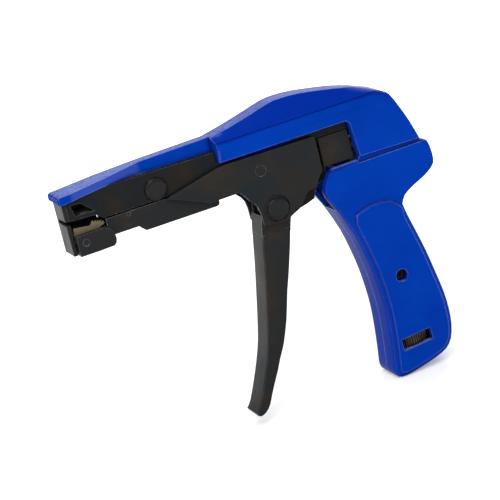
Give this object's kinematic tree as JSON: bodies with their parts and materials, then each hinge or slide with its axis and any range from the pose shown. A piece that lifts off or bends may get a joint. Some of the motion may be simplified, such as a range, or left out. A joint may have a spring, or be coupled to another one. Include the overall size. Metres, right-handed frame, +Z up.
{
  "type": "cable tie tensioning tool",
  "caption": "Pistol-shaped hand tool that tensions and cuts cable ties: blue cast body and grip, black steel nose, lever plates and trigger, knurled tension wheel in the grip.",
  "frame": {"origin": "centre of the tie slot in the front face of the nose, in the middle plane", "axes": "+X from the nose to the back of the grip, +Z up, +Y to the right-hand side of the tool seen from behind the nose; the pictured side faces -Y"},
  "size_m": [0.1673, 0.021, 0.1367],
  "materials": {
    "blue_paint": "gloss",
    "black_oxide": "black oxide, satin",
    "tan_plating": "satin",
    "dark_bronze": "dull",
    "plain_steel": "satin"
  },
  "bodies": {
    "frame": {"left_shell": "blue_paint", "right_shell": "blue_paint", "nose_plate_left": "black_oxide", "nose_plate_right": "black_oxide", "front_plate": "black_oxide", "nose_rivet": "black_oxide", "anvil": "plain_steel", "cutter_pin": "plain_steel", "frame_rivets": "plain_steel", "window_plate_left": "black_oxide", "window_plate_right": "black_oxide", "frame_rail_left": "black_oxide", "frame_rail_right": "black_oxide", "fulcrum_pin": "black_oxide", "handle_screw": "plain_steel", "spring_washer": "plain_steel", "tension_spring": "plain_steel"},
    "lever": {"lever_plate_left": "black_oxide", "lever_plate_right": "black_oxide", "lever_tail": "plain_steel", "tail_rivets": "plain_steel", "cutter_drive_pin": "plain_steel", "trigger_pivot": "black_oxide", "tail_pin": "plain_steel"},
    "trigger": {"trigger": "black_oxide", "trigger_bush": "plain_steel", "drive_arm": "plain_steel", "drive_pin": "plain_steel", "trigger_spring": "plain_steel"},
    "rocker": {"rocker": "plain_steel", "rocker_pin": "plain_steel"},
    "draw": {"draw_channel": "black_oxide", "draw_link": "plain_steel", "channel_pin": "plain_steel", "pawl_carrier": "black_oxide", "pawl_pin": "black_oxide", "pawl_spring": "plain_steel"},
    "pawl": {"gripper_pawl": "tan_plating"},
    "cutter": {"cutter_lever": "plain_steel", "cutter_blade": "plain_steel"},
    "tension": {"pull_link": "plain_steel", "tension_rod": "plain_steel"},
    "seat": {"spring_seat": "plain_steel"},
    "nut": {"adjusting_nut": "dark_bronze"}
  },
  "joints": [
    {"name": "lever_pivot", "type": "hinge", "parent": "frame", "child": "lever", "pos_m": [0.0872, 0, -0.004], "axis": [0, -1, 0], "range_deg": [0, 1.5], "stiffness_Nm_per_rad": 5, "springref_deg": -2.86},
    {"name": "trigger_squeeze", "type": "hinge", "parent": "lever", "child": "trigger", "pos_m": [0.0911, 0, -0.0224], "axis": [0, -1, 0], "range_deg": [0, 30], "stiffness_Nm_per_rad": 0.08, "springref_deg": -22.92},
    {"name": "rocker_pivot", "type": "hinge", "parent": "frame", "child": "rocker", "pos_m": [0.0872, 0, -0.004], "axis": [0, 1, 0], "range_deg": [0, 28.2]},
    {"name": "draw_slide", "type": "slide", "parent": "frame", "child": "draw", "axis": [1, 0, 0], "range_m": [0, 0.0081]},
    {"name": "pawl_pivot", "type": "hinge", "parent": "draw", "child": "pawl", "pos_m": [0.0057, 0, -0.0091], "axis": [0, -1, 0], "range_deg": [0, 10], "stiffness_Nm_per_rad": 0.02},
    {"name": "cutter_pivot", "type": "hinge", "parent": "frame", "child": "cutter", "pos_m": [0.076, 0, 0.01], "axis": [0, -1, 0], "range_deg": [0, 2.6]},
    {"name": "tension_pull", "type": "slide", "parent": "frame", "child": "tension", "axis": [0, 0, 1], "range_m": [0, 0.00125], "deforming": ["tension_spring"]},
    {"name": "seat_slide", "type": "slide", "parent": "tension", "child": "seat", "axis": [0, 0, 1], "range_m": [0, 0.00405], "deforming": ["tension_spring"]},
    {"name": "nut_turn", "type": "hinge", "parent": "seat", "child": "nut", "pos_m": [0.139, 0, -0.099], "axis": [0, 0, 1], "range_deg": [0, 1440]}
  ],
  "couplings": [
    {"joint": "rocker_pivot", "follows": "trigger_squeeze", "ratio": 0.937},
    {"joint": "draw_slide", "follows": "trigger_squeeze", "m_per_rad": 0.01528},
    {"joint": "cutter_pivot", "follows": "lever_pivot", "ratio": 1.7},
    {"joint": "tension_pull", "follows": "lever_pivot", "m_per_rad": 0.0458},
    {"joint": "seat_slide", "follows": "nut_turn", "m_per_rad": 0.00015915}
  ]
}
